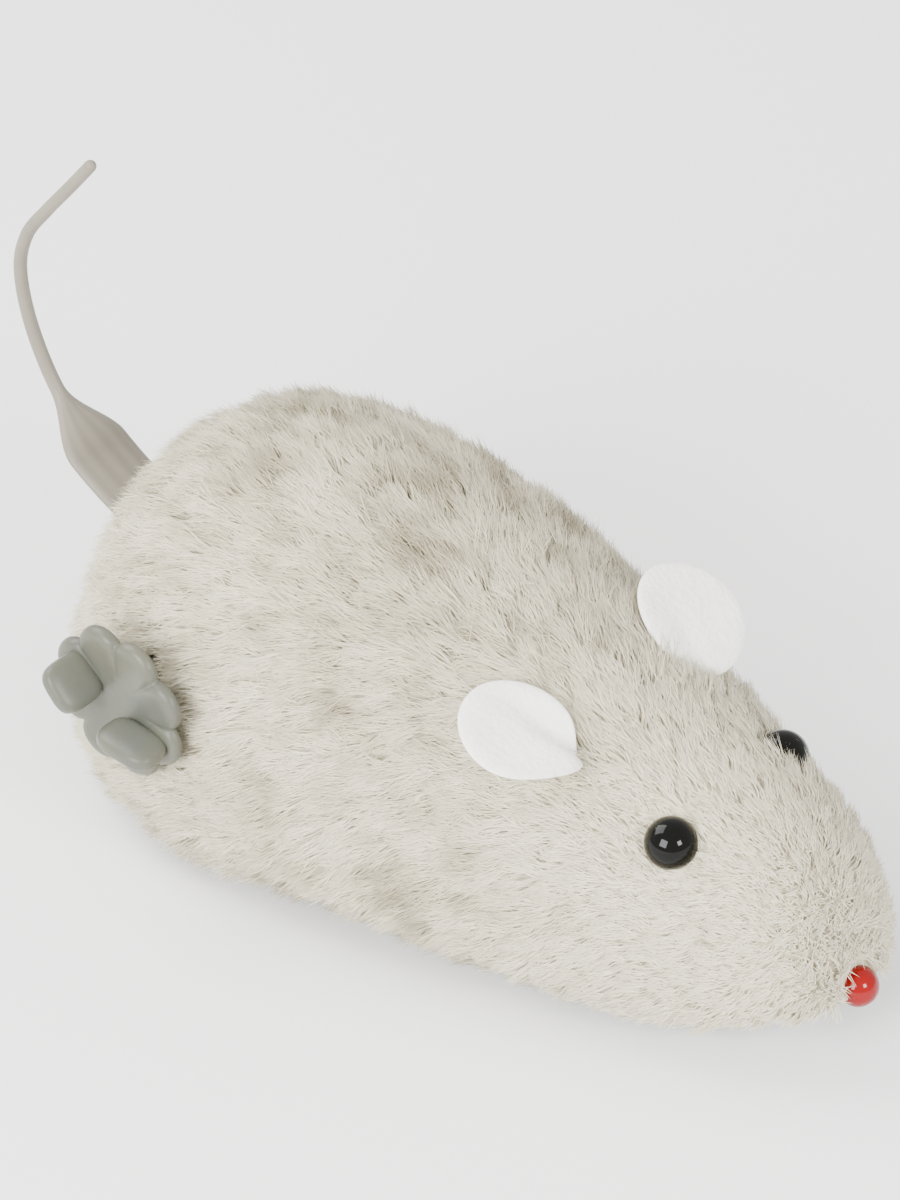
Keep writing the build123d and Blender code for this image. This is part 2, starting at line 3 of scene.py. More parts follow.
import bpy
import numpy as np
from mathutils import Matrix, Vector


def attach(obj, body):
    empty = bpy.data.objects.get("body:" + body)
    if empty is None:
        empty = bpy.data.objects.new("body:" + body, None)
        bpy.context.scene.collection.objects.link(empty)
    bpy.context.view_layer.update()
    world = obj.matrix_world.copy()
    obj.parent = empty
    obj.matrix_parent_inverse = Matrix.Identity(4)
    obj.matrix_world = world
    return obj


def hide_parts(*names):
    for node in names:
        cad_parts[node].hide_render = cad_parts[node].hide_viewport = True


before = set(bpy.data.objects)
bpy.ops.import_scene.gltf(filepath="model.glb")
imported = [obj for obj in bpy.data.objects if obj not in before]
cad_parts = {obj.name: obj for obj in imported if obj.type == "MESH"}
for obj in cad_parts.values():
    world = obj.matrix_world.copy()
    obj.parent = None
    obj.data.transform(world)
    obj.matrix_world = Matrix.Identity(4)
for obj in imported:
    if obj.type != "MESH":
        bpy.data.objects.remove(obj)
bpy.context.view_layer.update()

# ------------------------------------------------------------------ camera
# A long lens looking down at the mouse's right side from in front.
MM = 0.001
camera_data = bpy.data.cameras.new("camera")
camera_data.lens = 210
camera_data.sensor_width = 36
camera_data.clip_start = 0.01
camera = bpy.data.objects.new("camera", camera_data)
camera.location = Vector((249.8, -296.7, 325.4)) * MM
aim = Vector((-5.65, 1.97, 16.1)) * MM
camera.rotation_euler = (camera.location - aim).to_track_quat("Z", "Y").to_euler()
bpy.context.scene.collection.objects.link(camera)
bpy.context.scene.camera = camera


# ------------------------------------------------------------------ light
# A white room, one soft light at the mouse's right side, and weaker ones in front and behind.
world = bpy.data.worlds.new("soft_room")
world.use_nodes = True
world.node_tree.nodes["Background"].inputs["Color"].default_value = (1.0, 0.995, 0.985, 1)
world.node_tree.nodes["Background"].inputs["Strength"].default_value = 1.35
bpy.context.scene.world = world


def soft_light(name, place, size, power):
    """A square area light that looks at the middle of the body."""
    light = bpy.data.lights.new(name, "AREA")
    light.size = size * MM
    light.energy = power
    lamp = bpy.data.objects.new(name, light)
    lamp.location = Vector(place) * MM
    toward = Vector((0, 0, 0.012)) - lamp.location
    lamp.rotation_euler = toward.to_track_quat("-Z", "Y").to_euler()
    bpy.context.scene.collection.objects.link(lamp)


soft_light("side_light", (30, -400, 235), 240, 4.3)
soft_light("front_light", (360, -50, 220), 120, 1.7)
soft_light("rear_light", (-300, -60, 330), 300, 2.7)


# ------------------------------------------------------------------ floor
# A plain pale table top that the toy stands on. It is part of the setting, not of the toy.
FLOOR_Z = -2.2 * MM


def new_material(name, colour, metallic=0.0, specular=0.5):
    """A Principled material with plain values for its colour, metal and shine."""
    material = bpy.data.materials.new(name)
    material.use_nodes = True
    shader = material.node_tree.nodes["Principled BSDF"]
    shader.inputs["Base Color"].default_value = (*colour, 1)
    shader.inputs["Metallic"].default_value = metallic
    shader.inputs["Specular IOR Level"].default_value = specular
    return material


def surface_detail(material, scale, bump, rough, spread=0.08, depth=0.0001):
    """Fine noise drives the bump and varies the roughness a little."""
    nodes, links = material.node_tree.nodes, material.node_tree.links
    shader = nodes["Principled BSDF"]
    place = nodes.new("ShaderNodeTexCoord")
    noise = nodes.new("ShaderNodeTexNoise")
    noise.inputs["Scale"].default_value = scale
    noise.inputs["Detail"].default_value = 4.0
    links.new(place.outputs["Object"], noise.inputs["Vector"])
    span = nodes.new("ShaderNodeMapRange")
    span.inputs["To Min"].default_value = max(rough - spread, 0.02)
    span.inputs["To Max"].default_value = rough + spread
    links.new(noise.outputs["Fac"], span.inputs["Value"])
    links.new(span.outputs["Result"], shader.inputs["Roughness"])
    raised = nodes.new("ShaderNodeBump")
    raised.inputs["Strength"].default_value = bump
    raised.inputs["Distance"].default_value = depth
    links.new(noise.outputs["Fac"], raised.inputs["Height"])
    links.new(raised.outputs["Normal"], shader.inputs["Normal"])


floor_mesh = bpy.data.meshes.new("floor")
floor_mesh.from_pydata(
    [(-3, -3, FLOOR_Z), (3, -3, FLOOR_Z), (3, 3, FLOOR_Z), (-3, 3, FLOOR_Z)], [], [(0, 1, 2, 3)]
)
floor = bpy.data.objects.new("floor", floor_mesh)
bpy.context.scene.collection.objects.link(floor)
floor_paint = new_material("floor_paint", (0.90, 0.90, 0.90), specular=0.2)
surface_detail(floor_paint, 40, 0.02, 0.7)
floor_mesh.materials.append(floor_paint)


# ------------------------------------------------------------------ fur cover, backing
# One piece of short-pile fur fabric, pulled over the moulded body and glued in at the hem.
# The backing is a soft knitted sheet, ending in an open hem. Its darker grey-beige is painted shade
# for the shadowed depths between the hairs.
def smooth_max(a, b, k):
    """The larger of two values, with the corner between them rounded over k."""
    h = np.clip(0.5 + 0.5 * (a - b) / k, 0, 1)
    return b * (1 - h) + a * h + k * h * (1 - h)


def dome(x, centre, behind, ahead, p, q):
    """1 at centre, falling to 0 at each end along sqrt(1 - u^p) behind it and sqrt(1 - u^q) ahead."""
    u = np.where(x < centre, (centre - x) / behind, (x - centre) / ahead)
    power = np.where(x < centre, p, q)
    return np.sqrt(np.clip(1 - np.clip(u, 0, 1) ** power, 0, None))


REAR_X, FRONT_X = -33.8, 33.8


def fur_surface(x, v, inset=0.0):
    """The body's skin in mm. v runs from -1, the right hem, over the back at 0, to 1, the left hem.
    Half width and height are each the smooth maximum of a body dome and a head dome. A slice is a
    half ellipse down to the widest line at the side, and tucks in along a short arc below it. Both
    shrink at the neck along exp(-((x - 4) / 10)^2), and the hem rises towards the snout."""
    reach_front = FRONT_X - 13 - inset
    half = smooth_max(
        (17.2 - inset) * dome(x, -13, -13 - REAR_X - inset, 43.0, 2.0, 1.85),
        (10.9 - inset) * dome(x, 13, 26, reach_front, 2.5, 2.35),
        2.2,
    )
    top = smooth_max(
        (27.1 - inset) * dome(x, -14, -14 - REAR_X - inset, 43.0, 3.1, 1.9),
        (17.8 - inset) * dome(x, 13, 20, reach_front, 2.2, 3.7),
        2.2,
    )
    neck = np.exp(-(((x - 4) / 10) ** 2))
    top -= 1.05 * neck
    half -= 0.5 * neck
    middle = np.exp(-(((x - 4) / 13) ** 2))
    hem = 3.0 + 0.5 * middle + 2.1 * np.clip((x - 22) / 11, 0, 1) ** 1.5
    top = smooth_max(top, hem + 0.5, 0.8)
    side = hem + 0.15 * (top - hem)
    lean = np.radians(17 + 17 * middle)
    down = np.abs(v)
    upper = down < 0.78
    arch = np.where(upper, (1 - down / 0.78) * np.pi / 2, 0)
    tuck = np.where(upper, 0, (down - 0.78) / 0.22) * lean
    across = np.where(upper, np.cos(arch), np.cos(tuck))
    level = np.where(
        upper,
        side + (top - side) * np.sin(arch),
        side - (side - hem) * np.sin(tuck) / np.sin(lean),
    )
    y = np.sign(v) * half * across
    z = level + FLOOR_Z / MM
    return np.stack([x + 0 * y, y, z], -1)


def fur_grid(rows, columns, inset=0.0):
    """Points of the skin, closer together towards the rump and the snout."""
    t = np.linspace(0.02, np.pi - 0.02, rows)
    middle, reach = (REAR_X + FRONT_X) / 2, (FRONT_X - REAR_X) / 2 - inset
    x = middle - reach * np.cos(t)
    x, v = np.meshgrid(x, np.linspace(-1, 1, columns), indexing="ij")
    return fur_surface(x, v, inset)


def grid_quads(rows, columns, start=0):
    """Quads over a grid of numbered points."""
    i, j = np.meshgrid(np.arange(rows - 1), np.arange(columns - 1), indexing="ij")
    a = (i * columns + j).ravel() + start
    return np.stack([a, a + 1, a + columns + 1, a + columns], 1)


def make_piece(name, points, faces, material):
    """A smooth mesh object at the origin, from points in mm and a list of face index arrays."""
    mesh = bpy.data.meshes.new(name)
    corners = np.concatenate([f.ravel() for f in faces])
    sizes = np.concatenate([np.full(len(f), f.shape[1]) for f in faces])
    starts = np.concatenate([[0], np.cumsum(sizes)[:-1]])
    mesh.vertices.add(len(points))
    mesh.vertices.foreach_set("co", (points * MM).astype(np.float32).ravel())
    mesh.loops.add(len(corners))
    mesh.loops.foreach_set("vertex_index", corners.astype(np.int32))
    mesh.polygons.add(len(sizes))
    mesh.polygons.foreach_set("loop_start", starts.astype(np.int32))
    mesh.polygons.foreach_set("use_smooth", np.full(len(sizes), True))
    mesh.update(calc_edges=True)
    mesh.validate()
    mesh.materials.append(material)
    piece = bpy.data.objects.new(name, mesh)
    bpy.context.scene.collection.objects.link(piece)
    return piece


def closed_sheet(outer, inner):
    """Points and quads of a closed layer between two grids, with a strip along each of its edges."""
    rows, columns = outer.shape[:2]
    points = np.concatenate([outer.reshape(-1, 3), inner.reshape(-1, 3)])
    count = rows * columns
    top = grid_quads(rows, columns)[:, ::-1]
    under = grid_quads(rows, columns, count)
    index = np.arange(count).reshape(rows, columns)
    loop = np.concatenate([index[0, :-1], index[:-1, -1], index[-1, :0:-1], index[:0:-1, 0]])
    after = np.roll(loop, -1)
    rim = np.stack([loop, after, after + count, loop + count], 1)
    return points, [top, under, rim]


def noise_colour(material, light, dark, scale):
    """Links the base colour to a soft noise that runs between two tones."""
    nodes, links = material.node_tree.nodes, material.node_tree.links
    place = nodes.new("ShaderNodeTexCoord")
    noise = nodes.new("ShaderNodeTexNoise")
    noise.inputs["Scale"].default_value = scale
    noise.inputs["Detail"].default_value = 3.0
    ramp = nodes.new("ShaderNodeValToRGB")
    ramp.color_ramp.elements[0].position = 0.3
    ramp.color_ramp.elements[1].position = 0.7
    ramp.color_ramp.elements[0].color = (*dark, 1)
    ramp.color_ramp.elements[1].color = (*light, 1)
    links.new(place.outputs["Object"], noise.inputs["Vector"])
    links.new(noise.outputs["Fac"], ramp.inputs["Fac"])
    links.new(ramp.outputs["Color"], nodes["Principled BSDF"].inputs["Base Color"])


# Painted shade: the backing is coloured darker than the pile, so the gaps between hairs read as
# shadow.
fur_backing_painted_shade = new_material("fur_backing_painted_shade", (0.60, 0.55, 0.41), specular=0.1)
noise_colour(fur_backing_painted_shade, (0.63, 0.575, 0.43), (0.46, 0.41, 0.29), 400)
surface_detail(fur_backing_painted_shade, 2600, 0.6, 0.95, 0.04)
rows, columns = 190, 150
points, faces = closed_sheet(fur_grid(rows, columns), fur_grid(rows, columns, 0.6))
fur_skin = make_piece("fur_skin", points, faces, fur_backing_painted_shade)
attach(fur_skin, "root")
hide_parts("plush_cover")


# ------------------------------------------------------------------ fur cover, pile
# Combed acrylic pile about 2.5 mm long. It lies back from the nose and down the flanks, gathers
# into small tufts, and runs through several tones of white and grey.
def hash_values(cells, seed):
    """A repeatable value from 0 to 1 for each whole-number cell."""
    cells = cells.astype(np.int64)
    n = cells[..., 0] * 73856093 ^ cells[..., 1] * 19349663 ^ cells[..., 2] * 83492791
    n = (n + seed * 2654435761) & 0xFFFFFFFF
    n = ((n ^ (n >> 15)) * 2246822519) & 0xFFFFFFFF
    n = ((n ^ (n >> 13)) * 3266489917) & 0xFFFFFFFF
    return ((n ^ (n >> 16)) & 0xFFFFFF) / float(0xFFFFFF)


def value_noise(points, cell, seed):
    """Smooth noise from 0 to 1: cell corners' values, blended with s = t*t*(3 - 2t) each way."""
    q = points / cell
    low = np.floor(q)
    t = q - low
    s = t * t * (3 - 2 * t)
    total = np.zeros(points.shape[:-1])
    for corner in np.ndindex(2, 2, 2):
        corner = np.array(corner)
        weight = np.prod(np.where(corner == 1, s, 1 - s), axis=-1)
        total += weight * hash_values(low + corner, seed)
    return total


def nearest_tuft(points, cell, seed):
    """The centre of the nearest tuft, where each cell of space holds one centre at a random spot."""
    base = np.floor(points / cell)
    best = np.full(len(points), np.inf)
    centre = np.zeros_like(points)
    for step in np.ndindex(3, 3, 3):
        cells = base + np.array(step) - 1
        jitter = np.stack([hash_values(cells, seed + k) for k in range(3)], -1)
        here = (cells + jitter) * cell
        gap = np.sum((here - points) ** 2, -1)
        closer = gap < best
        best = np.where(closer, gap, best)
        centre = np.where(closer[:, None], here, centre)
    return centre


def unit(a):
    """Vectors of length 1 along the last axis."""
    return a / np.maximum(np.linalg.norm(a, axis=-1, keepdims=True), 1e-9)


def roots_by_area(count, rng):
    """Root points spread evenly by area over the skin, with the outward normal at each."""
    grid = fur_grid(260, 200)
    along, across = grid[1:, :-1] - grid[:-1, :-1], grid[:-1, 1:] - grid[:-1, :-1]
    patch = np.cross(across, along)
    area = np.linalg.norm(patch, axis=-1).ravel()
    pick = rng.choice(len(area), count, p=area / area.sum())
    a, b = rng.random((2, count, 1))
    corner = grid[:-1, :-1].reshape(-1, 3)[pick]
    root = corner + a * along.reshape(-1, 3)[pick] + b * across.reshape(-1, 3)[pick]
    normal = unit(patch.reshape(-1, 3)[pick])
    outward = np.sign(np.sum(normal * (root - np.array([0, 0, 4])), -1, keepdims=True))
    return root, normal * outward


EYES = np.array([(21.4, -6.2, 13.5), (21.4, 6.2, 13.5)])
NOSE = np.array([33.4, 0.0, 3.1])
KEY_X, KEY_Z = -18.5, 13.0
TAIL_FOOT = np.array([-33.0, 0.0, 12.2])


def clear_of_fittings(root):
    """True where a root isn't under the nose, an eye, the key's sleeve or the tail's foot."""
    clear = np.linalg.norm(root - NOSE, axis=1) > 2.1
    for eye, bare in zip(EYES, (2.0, 2.1)):
        clear &= np.linalg.norm(root - eye, axis=1) > bare
    key_gap = np.hypot(root[:, 0] - KEY_X, root[:, 2] - KEY_Z)
    clear &= (key_gap > 1.8) | (root[:, 1] > 0)
    tail_gap = np.linalg.norm((root - TAIL_FOOT) / np.array([3, 3, 1.1]), axis=1)
    return clear & (tail_gap > 1)


def comb_directions(root, normal, tuft_cell, rng):
    """Unit directions along the skin. The comb runs back and down the flank, less steeply on the
    head. Smooth noise swirls it, and every tuft and every hair adds a random turn of its own."""
    x = root[:, :1]
    head = np.clip((x - 6) / 14, 0, 1)
    comb = np.concatenate([-np.ones_like(x), 0.05 * np.sign(root[:, 1:2]), -0.55 + 0.4 * head], 1)
    comb[:, 1] += 0.5 * (value_noise(root, 7.0, 11) - 0.5)
    comb[:, 2] += 0.7 * (value_noise(root, 6.0, 12) - 0.5)
    comb[:, 1] += 0.8 * (hash_values(tuft_cell, 31) - 0.5)
    comb[:, 2] += 0.8 * (hash_values(tuft_cell, 32) - 0.5)
    comb += 0.22 * rng.normal(size=comb.shape)
    comb -= normal * np.sum(comb * normal, -1, keepdims=True)
    return unit(comb)


def pile_lengths(root, normal, tuft_cell, rng):
    """Lengths in mm, about 2.5 with a part that each tuft shares and a part for each hair. They fall
    by 42% towards the snout, by 70% under it and by 65% at the right eye, and grow by 35% round the
    left eye."""
    length = 2.5 * (0.62 + 0.62 * hash_values(tuft_cell, 33) + 0.2 * rng.random(len(root)))
    length *= 1 - 0.42 * np.clip((root[:, 0] - 10) / 20, 0, 1)
    under_snout = np.clip((root[:, 0] - 26) / 5, 0, 1) * np.clip(-0.05 - normal[:, 2], 0, 0.4) / 0.4
    length *= 1 - 0.7 * under_snout
    right_eye, left_eye = (np.linalg.norm(root - eye, axis=1) for eye in EYES)
    length *= np.clip(0.35 + 0.65 * (right_eye - 2.0) / 2.5, 0.35, 1)
    length *= 1 + 0.35 * np.exp(-((left_eye - 2.3) ** 2))
    return length[:, None]


def pushed_off_beads(points):
    """The points, with those inside an eye or the nose moved out along its radius."""
    for centre, radius in ((EYES[0], 1.95), (EYES[1], 1.95), (NOSE, 1.56)):
        gap = points - centre
        far = np.linalg.norm(gap, axis=1, keepdims=True)
        points = centre + gap * np.maximum(1, radius / far)
    return points


def comb_pile(count, rng):
    """Roots, knees, tips and normals of the hairs. A hair rises from the skin, bends over at its knee
    and lies along the combing direction, and its tip leans to the centre of its tuft. Knees and tips
    stay outside the beads, behind the key and above the floor."""
    root, normal = roots_by_area(count, rng)
    clear = clear_of_fittings(root)
    root, normal = root[clear], normal[clear]
    tuft = nearest_tuft(root, 1.15, 21)
    tuft_cell = np.floor(tuft * 50)
    comb = comb_directions(root, normal, tuft_cell, rng)
    length = pile_lengths(root, normal, tuft_cell, rng)
    fluff = np.clip(1.3 - np.linalg.norm(root - NOSE, axis=1) / 5.5, 0, 1)
    fluff = (fluff * np.clip(0.9 + 2 * normal[:, 2], 0, 1))[:, None]
    rise = np.radians(42 - 6 * fluff + 9 * rng.normal(size=(len(root), 1)))
    fall = np.radians(70 - 7 * fluff + 9 * rng.normal(size=(len(root), 1)))
    knee = root + length * 0.45 * (normal * np.cos(rise) + comb * np.sin(rise))
    tip = knee + length * 0.55 * (normal * np.cos(fall) + comb * np.sin(fall))
    pull = tuft - root
    pull -= normal * np.sum(pull * normal, -1, keepdims=True)
    knee += 0.28 * pull
    tip += (0.78 - 0.38 * np.clip((root[:, :1] - 10) / 20, 0, 1)) * pull
    knee, tip = pushed_off_beads(knee), pushed_off_beads(tip)
    by_key = (np.hypot(tip[:, 0] - KEY_X, tip[:, 2] - KEY_Z) < 6.8) & (tip[:, 1] < 0)
    for points in (knee, tip):
        points[by_key, 1] = np.maximum(points[by_key, 1], -18.0)
        points[:, 2] = np.maximum(points[:, 2], FLOOR_Z / MM + 0.3)
    return root - 0.15 * normal, knee, tip, normal


def hair_mesh(name, root, knee, tip, normal, width, material, rng):
    """Closed three-sided hairs: a ring of three points at the root, a thinner one at the knee, and
    the tip. Corner normals lean towards the skin's own normal, as a soft pile is lit."""
    count = len(root)
    lie = unit(tip - root)
    side = unit(np.cross(lie, normal))
    lift = np.cross(lie, side)
    turn = rng.random((count, 1, 1)) * 2 * np.pi + np.arange(3).reshape(1, 3, 1) * 2 * np.pi / 3
    ring = side[:, None] * np.cos(turn) + lift[:, None] * np.sin(turn)
    half = width[:, None, None] / 2
    points = np.concatenate(
        [root[:, None] + ring * half, knee[:, None] + ring * half * 0.85, tip[:, None]], 1
    )
    base = (np.arange(count) * 7)[:, None]
    quads = np.array([[0, 1, 4, 3], [1, 2, 5, 4], [2, 0, 3, 5]])
    ends = np.array([[3, 4, 6], [4, 5, 6], [5, 3, 6], [2, 1, 0]])
    quads = (base[:, None] + quads).reshape(-1, 4)
    ends = (base[:, None] + ends).reshape(-1, 3)
    piece = make_piece(name, points.reshape(-1, 3), [quads, ends], material)
    soft = np.concatenate([ring * 0.55, ring * 0.55, lie[:, None] * 0.3], 1) + normal[:, None] * 1.3
    soft = unit(soft).reshape(-1, 3)
    piece.data.normals_split_custom_set_from_vertices(soft.astype(np.float32).tolist())
    return piece


TONES = [
    (0.72, 0.662, 0.50), (0.69, 0.633, 0.475), (0.66, 0.604, 0.45), (0.625, 0.57, 0.42),
    (0.59, 0.535, 0.39), (0.55, 0.495, 0.355), (0.50, 0.447, 0.315), (0.43, 0.38, 0.262),
    (0.33, 0.287, 0.195),
]
TONE_SHARES = [0.17, 0.16, 0.15, 0.14, 0.12, 0.10, 0.08, 0.055, 0.025]
HAIRS_IN_PIECE = 19000
rng = np.random.default_rng(7)
root, knee, tip, normal = comb_pile(150000, rng)
# Hairs are sorted from light to dark by noise of three sizes. The head is lighter as painted light,
# for the head standing brighter in the light, and up to one hair in ten close round the eyes is
# darker.
stretched = root * np.array([0.5, 1.0, 1.0])
tone = 0.55 * value_noise(stretched, 1.2, 41) + 0.30 * value_noise(stretched, 3.0, 42)
tone += 0.16 * value_noise(root, 9.0, 43) + 0.14 * rng.random(len(root))
# Painted light: hairs towards the head get lighter tones, standing in for the brighter light there.
tone -= 0.34 * np.clip((root[:, 0] - 6) / 16, 0, 1)
near_eye = np.min([np.linalg.norm(root - eye, axis=1) for eye in EYES], axis=0)
tone += 0.5 * (rng.random(len(root)) < 0.10 * np.clip((6.5 - near_eye) / 3, 0, 1))
order = np.argsort(tone)
edges = np.cumsum([0] + TONE_SHARES)
for number, colour in enumerate(TONES):
    low, high = (int(round(edges[number + k] * len(order))) for k in (0, 1))
    pieces = math.ceil((high - low) / HAIRS_IN_PIECE)
    for part, chosen in enumerate(np.array_split(order[low:high], pieces)):
        hair = new_material(f"fur_tone_{number}_{part}", colour, specular=0.25)
        surface_detail(hair, 3000, 0.0, 0.6, 0.1)
        width = 0.10 * (0.75 + 0.5 * rng.random(len(chosen)))
        pile = hair_mesh(
            f"fur_pile_{number}_{part}", root[chosen], knee[chosen], tip[chosen],
            normal[chosen], width, hair, rng,
        )
        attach(pile, "root")

# ------------------------------------------------------------------ eyes
# Two moulded beads of glossy black plastic. The shank of each goes through the fur and the body
# shell, and a push-on steel washer holds it from inside.
def dress(material, *names):
    """Puts one material on several CAD nodes."""
    for name in names:
        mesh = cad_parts[name].data
        mesh.materials.clear()
        mesh.materials.append(material)


eye_gloss = new_material("eye_gloss", (0.002, 0.002, 0.0015), specular=0.16)
surface_detail(eye_gloss, 90, 0.01, 0.06, 0.02)
dress(eye_gloss, "left_eye", "right_eye")

# ------------------------------------------------------------------ nose
# A smaller moulded bead of glossy red plastic, fixed through the tip of the fur and held inside
# the shell by a push-on washer, as the eyes are.
nose_gloss = new_material("nose_gloss", (0.22, 0.0003, 0.0002), specular=0.3)
noise_colour(nose_gloss, (0.24, 0.0004, 0.0003), (0.19, 0.0002, 0.0002), 160)
surface_detail(nose_gloss, 120, 0.01, 0.10, 0.03)
dress(nose_gloss, "nose_bead")

# ------------------------------------------------------------------ key
# Grey moulded plastic, a little translucent: a dished flower with eight rounded petals, two thumb
# lugs across it and a sleeve that grips the winding shaft.
def from_key_face(across, up, out):
    """Points in mm from the key's own axes: across towards the nose, up, and out to the right."""
    return np.stack([KEY_X + across, -18.4 - out, KEY_Z + up], -1)


def closed_rings(rings):
    """Points and faces of rings of equal length, with the first and last ring closed by fans."""
    count, around = rings.shape[:2]
    poles = np.stack([rings[0].mean(0), rings[-1].mean(0)])
    points = np.concatenate([rings.reshape(-1, 3), poles])
    i, j = np.meshgrid(np.arange(count - 1), np.arange(around), indexing="ij")
    a, b = (i * around + j).ravel(), (i * around + (j + 1) % around).ravel()
    quads = np.stack([a, b, b + around, a + around], 1)
    j = np.arange(around)
    after = (j + 1) % around
    last = (count - 1) * around
    first_fan = np.stack([np.full(around, count * around), after, j], 1)
    last_fan = np.stack([np.full(around, count * around + 1), last + j, last + after], 1)
    return points, [quads, first_fan, last_fan]


def flower_rings():
    """The flower's skin from the front's centre over the rim to the back's centre. At angle d from a
    petal's middle line the outline is R = c cos d + sqrt(p^2 - (c sin d)^2), for petals of radius
    p = 2.08 mm at distance c = 3.95 mm. The front is a saucer, h = 0.2 + 0.75 s^1.6 at s = r / R,
    less a crease between petals of 0.5 s^3 |8 d / pi|^5. The rim is rounded by sqrt(1 - s^12)."""
    theta = np.linspace(0, 2 * np.pi, 192, endpoint=False)
    d = (theta % (np.pi / 4)) - np.pi / 8
    outline = 3.95 * np.cos(d) + np.sqrt(2.08**2 - (3.95 * np.sin(d)) ** 2)
    a = np.linspace(0.02, np.pi - 0.02, 72)[:, None]
    s = np.sin(a)
    r = outline * s
    crease = s**3 * (np.abs(d) * 8 / np.pi) ** 5
    rim = np.sqrt(np.clip(1 - s**12, 0, None))
    front = 0.5 + (0.2 + 0.75 * s**1.6 - 0.5 * crease) * rim
    back = 0.5 - 0.5 * rim
    out = np.where(a < np.pi / 2, front, back) + 0 * r
    return from_key_face(r * np.cos(theta), r * np.sin(theta), out)


def squared(c):
    """sign(c) |c|^0.6 of a circle's coordinate, which fills the circle out towards a square."""
    return np.sign(c) * np.abs(c) ** 0.6


def wing_rings(side):
    """A rounded lug 3.1 mm from the flower's middle: a sphere's coordinates, each squared and times
    the half sizes (1.95, 0.85, 2.1) mm of the upper lug or (2.5, 0.85, 1.7) mm of the lower. It is
    12% thinner than that at its outer end and 12% thicker at its foot. The lugs stand at 154 and -26
    degrees round the flower, turned 22 degrees back and on about their own middles."""
    a = np.linspace(0.03, np.pi - 0.03, 40)[:, None]
    theta = np.linspace(0, 2 * np.pi, 64, endpoint=False)
    half_length, half_depth = (1.95, 2.1) if side > 0 else (2.5, 1.7)
    stand, lean = np.radians((154, 132) if side > 0 else (-26, -4))
    long = half_length * squared(np.sin(a)) * squared(np.cos(theta))
    thick = 0.85 * squared(np.sin(a)) * squared(np.sin(theta)) * (1 - 0.12 * squared(np.cos(a)))
    out = 2.5 + half_depth * squared(np.cos(a)) + 0 * theta
    across = 3.1 * np.cos(stand) + long * np.cos(lean) - thick * np.sin(lean)
    up = 3.1 * np.sin(stand) + long * np.sin(lean) + thick * np.cos(lean)
    return from_key_face(across, up, out)


def sleeve_rings():
    """A round sleeve of radius 1.5 mm from the flower's back into the body."""
    theta = np.linspace(0, 2 * np.pi, 48, endpoint=False)
    radius = np.array([0.05, 1.4, 1.5, 1.5, 1.4, 0.05])[:, None]
    out = np.array([0.2, 0.2, 0.1, -3.5, -3.6, -3.6])[:, None] + 0 * theta
    return from_key_face(radius * np.cos(theta), radius * np.sin(theta), out)


key_plastic = new_material("key_plastic", (0.092, 0.093, 0.068), specular=0.3)
key_shader = key_plastic.node_tree.nodes["Principled BSDF"]
key_shader.inputs["Subsurface Weight"].default_value = 0.12
key_shader.inputs["Subsurface Scale"].default_value = 0.8 * MM
noise_colour(key_plastic, (0.108, 0.106, 0.075), (0.08, 0.084, 0.069), 260)
surface_detail(key_plastic, 900, 0.10, 0.38, 0.06, 0.00005)
for name, rings in (
    ("key_flower", flower_rings()), ("key_wing_upper", wing_rings(1)),
    ("key_wing_lower", wing_rings(-1)), ("key_sleeve", sleeve_rings()),
):
    points, faces = closed_rings(rings)
    piece = make_piece(name, points, faces, key_plastic)
    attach(piece, "winder")
    if name == "key_flower":
        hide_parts("winding_key")

# ------------------------------------------------------------------ tail
# Soft grey moulded PVC: a flat leaf-shaped foot with fine ribs, narrowing into a round whip. The
# foot is pushed through a slit in the fur.
TAIL_ROUTE = np.array([
    (-30.4, 11.4), (-33.4, 12.3), (-37.6, 14.6), (-41.7, 18.0), (-44.3, 22.8), (-45.3, 27.6),
    (-44.5, 31.2), (-42.4, 34.3), (-40.0, 37.4), (-37.5, 40.7),
])


def smooth_route(points, steps):
    """A line through the points: between each two, the cubic whose slopes are half the step between
    their neighbours. It returns steps places along it, evenly spaced by length."""
    before = np.vstack([2 * points[0] - points[1], points])
    after = np.vstack([points, 2 * points[-1] - points[-2]])
    slope = (after[1:] - before[:-1]) / 2
    t = np.linspace(0, 1, 40, endpoint=False)[None, :, None]
    p, q, m, n = points[:-1, None], points[1:, None], slope[:-1, None], slope[1:, None]
    line = (2 * t**3 - 3 * t**2 + 1) * p + (t**3 - 2 * t**2 + t) * m
    line = line + (3 * t**2 - 2 * t**3) * q + (t**3 - t**2) * n
    line = np.vstack([line.reshape(-1, points.shape[1]), points[-1:]])
    length = np.concatenate([[0], np.cumsum(np.linalg.norm(np.diff(line, axis=0), axis=1))])
    even = np.linspace(0, length[-1], steps)
    return np.stack([np.interp(even, length, line[:, k]) for k in range(points.shape[1])], 1), even


